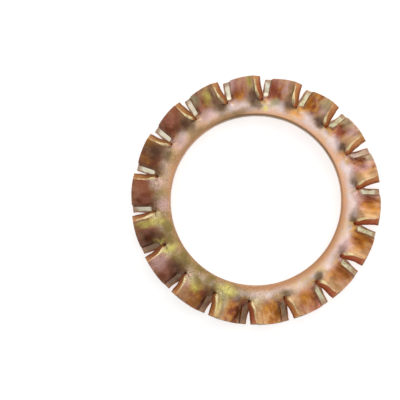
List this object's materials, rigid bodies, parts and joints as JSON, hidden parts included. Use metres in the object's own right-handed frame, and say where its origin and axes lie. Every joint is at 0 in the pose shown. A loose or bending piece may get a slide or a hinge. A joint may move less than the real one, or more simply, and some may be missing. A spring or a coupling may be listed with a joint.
{
  "type": "toothed lock washer",
  "caption": "Flat steel ring with external teeth, each twisted about its radius, that locks a screw head or nut against loosening.",
  "frame": {"origin": "centre of the bore at mid-thickness of the flat ring", "axes": "+Z along the axis of the bore; +X along the middle of one tooth; either face may be up"},
  "size_m": [0.0254, 0.0254, 0.0036],
  "materials": {
    "chromated_steel": "yellow chromated zinc plating, satin, with iridescent patches"
  },
  "bodies": {
    "root": {"lock_washer": "chromated_steel"}
  },
  "joints": []
}
